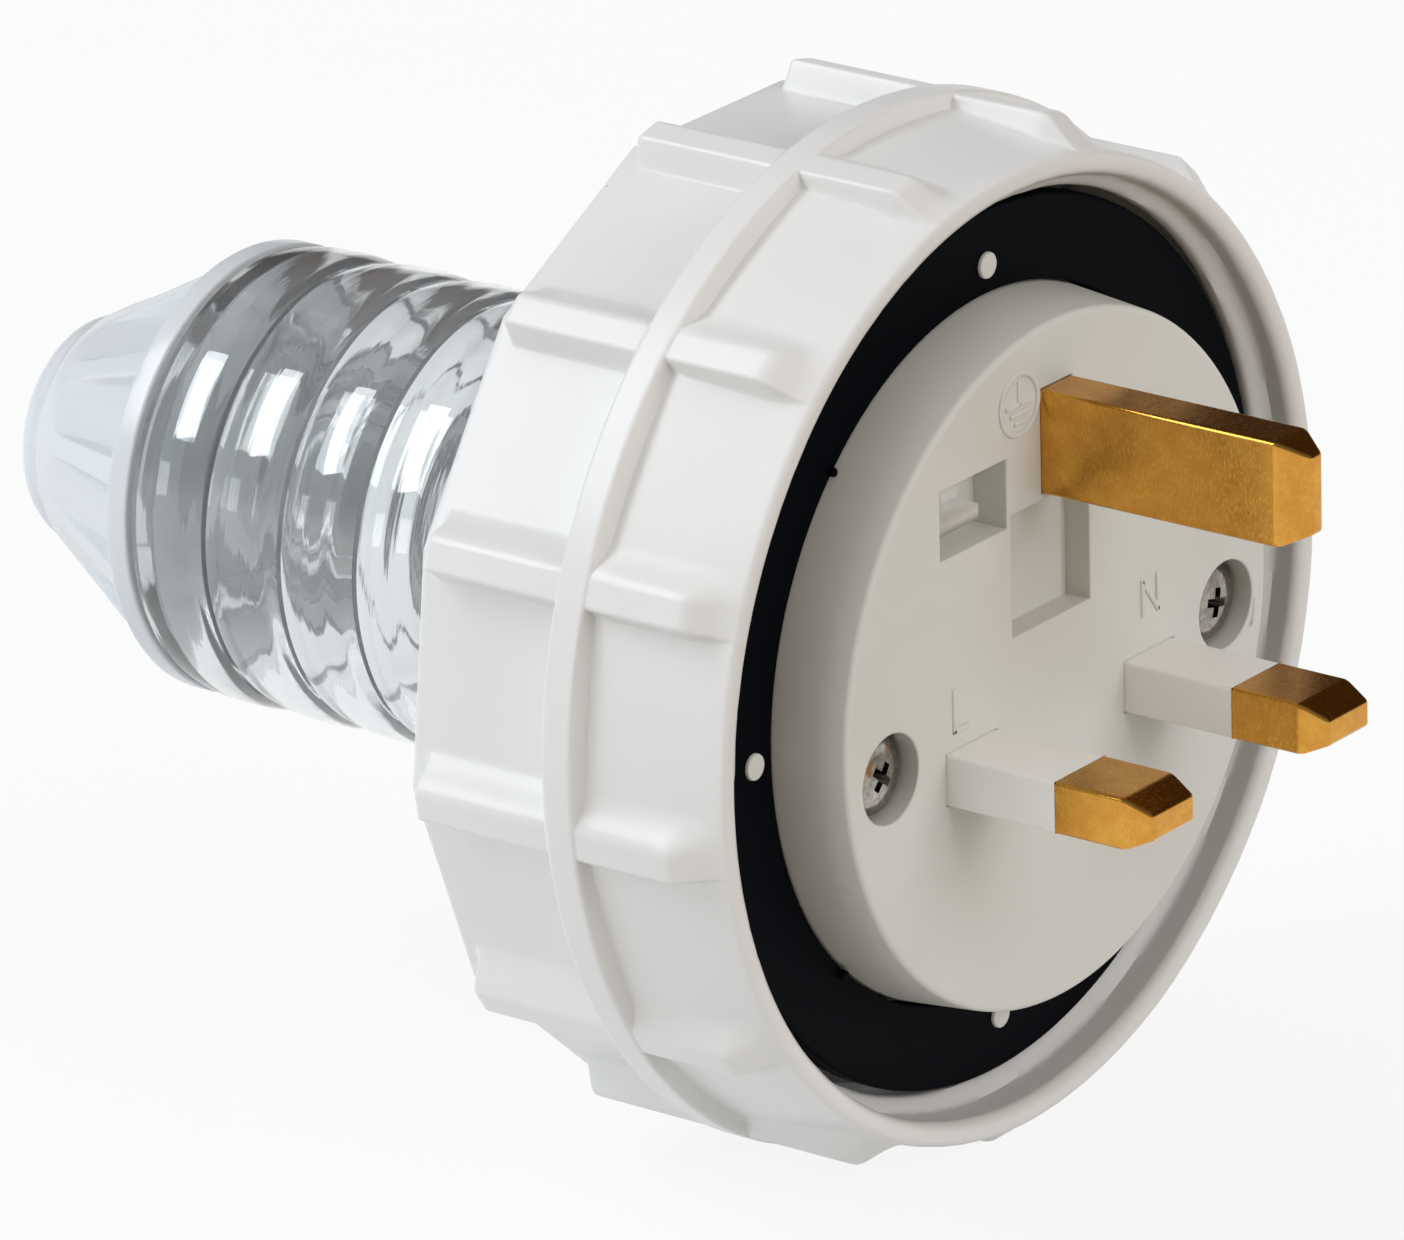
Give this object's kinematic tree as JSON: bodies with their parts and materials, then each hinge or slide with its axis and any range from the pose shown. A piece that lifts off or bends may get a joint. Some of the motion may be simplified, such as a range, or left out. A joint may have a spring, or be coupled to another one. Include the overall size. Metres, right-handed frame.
{
  "type": "waterproof mains plug",
  "caption": "Weatherproof straight mains plug with flat brass pins on a round carrier, a ribbed screw locking ring, a clear banded rear housing and a fluted cable gland nut.",
  "frame": {"origin": "on the plug axis, in the front face of the pin carrier, which meets the socket", "axes": "+Y along the plug axis towards the cable, pins towards -Y, +Z towards the earth pin, +X towards the neutral pin"},
  "size_m": [0.079, 0.1146, 0.079],
  "materials": {
    "ring_plastic": "moulded off-white plastic, satin gloss",
    "carrier_plastic": "moulded off-white plastic, fine satin texture",
    "nut_plastic": "moulded white plastic, glossy",
    "sleeve_plastic": "moulded off-white sleeve",
    "clear_plastic": "clear moulded polycarbonate, polished",
    "black_rubber": "black moulded rubber",
    "pale_rubber": "pale grey moulded rubber",
    "brass": "drawn brass, milled tips",
    "plated_steel": "nickel-plated steel",
    "fuse_ceramic": "unglazed ceramic tube"
  },
  "bodies": {
    "plug_body": {"rear_housing": "clear_plastic", "housing_seal": "black_rubber", "pin_carrier": "carrier_plastic", "face_gasket": "black_rubber", "earth_pin": "brass", "live_pin": "brass", "neutral_pin": "brass", "live_pin_sleeve": "sleeve_plastic", "neutral_pin_sleeve": "sleeve_plastic", "live_fuse_clip": "brass", "load_fuse_clip": "brass", "live_terminal": "brass", "fuse_barrel": "fuse_ceramic", "fuse_caps": "plated_steel", "terminal_screws": "plated_steel", "cord_clamp": "carrier_plastic", "cord_clamp_screws": "plated_steel", "carrier_screws": "plated_steel", "gland_seal": "pale_rubber"},
    "locking_ring": {"locking_ring": "ring_plastic"},
    "gland_washer": {"gland_washer": "nut_plastic"},
    "gland_nut": {"gland_nut": "nut_plastic"}
  },
  "joints": [
    {"name": "ring_turn", "type": "hinge", "parent": "plug_body", "child": "locking_ring", "pos_m": [0, 0.017, 0], "axis": [0, 1, 0], "continuous": true},
    {"name": "gland_travel", "type": "slide", "parent": "plug_body", "child": "gland_washer", "axis": [0, 1, 0], "range_m": [0, 0.004]},
    {"name": "gland_turn", "type": "hinge", "parent": "gland_washer", "child": "gland_nut", "pos_m": [0, 0.08, 0], "axis": [0, 1, 0], "range_deg": [0, 720]}
  ],
  "couplings": [
    {"joint": "gland_travel", "follows": "gland_turn", "m_per_rad": 0.000318}
  ]
}
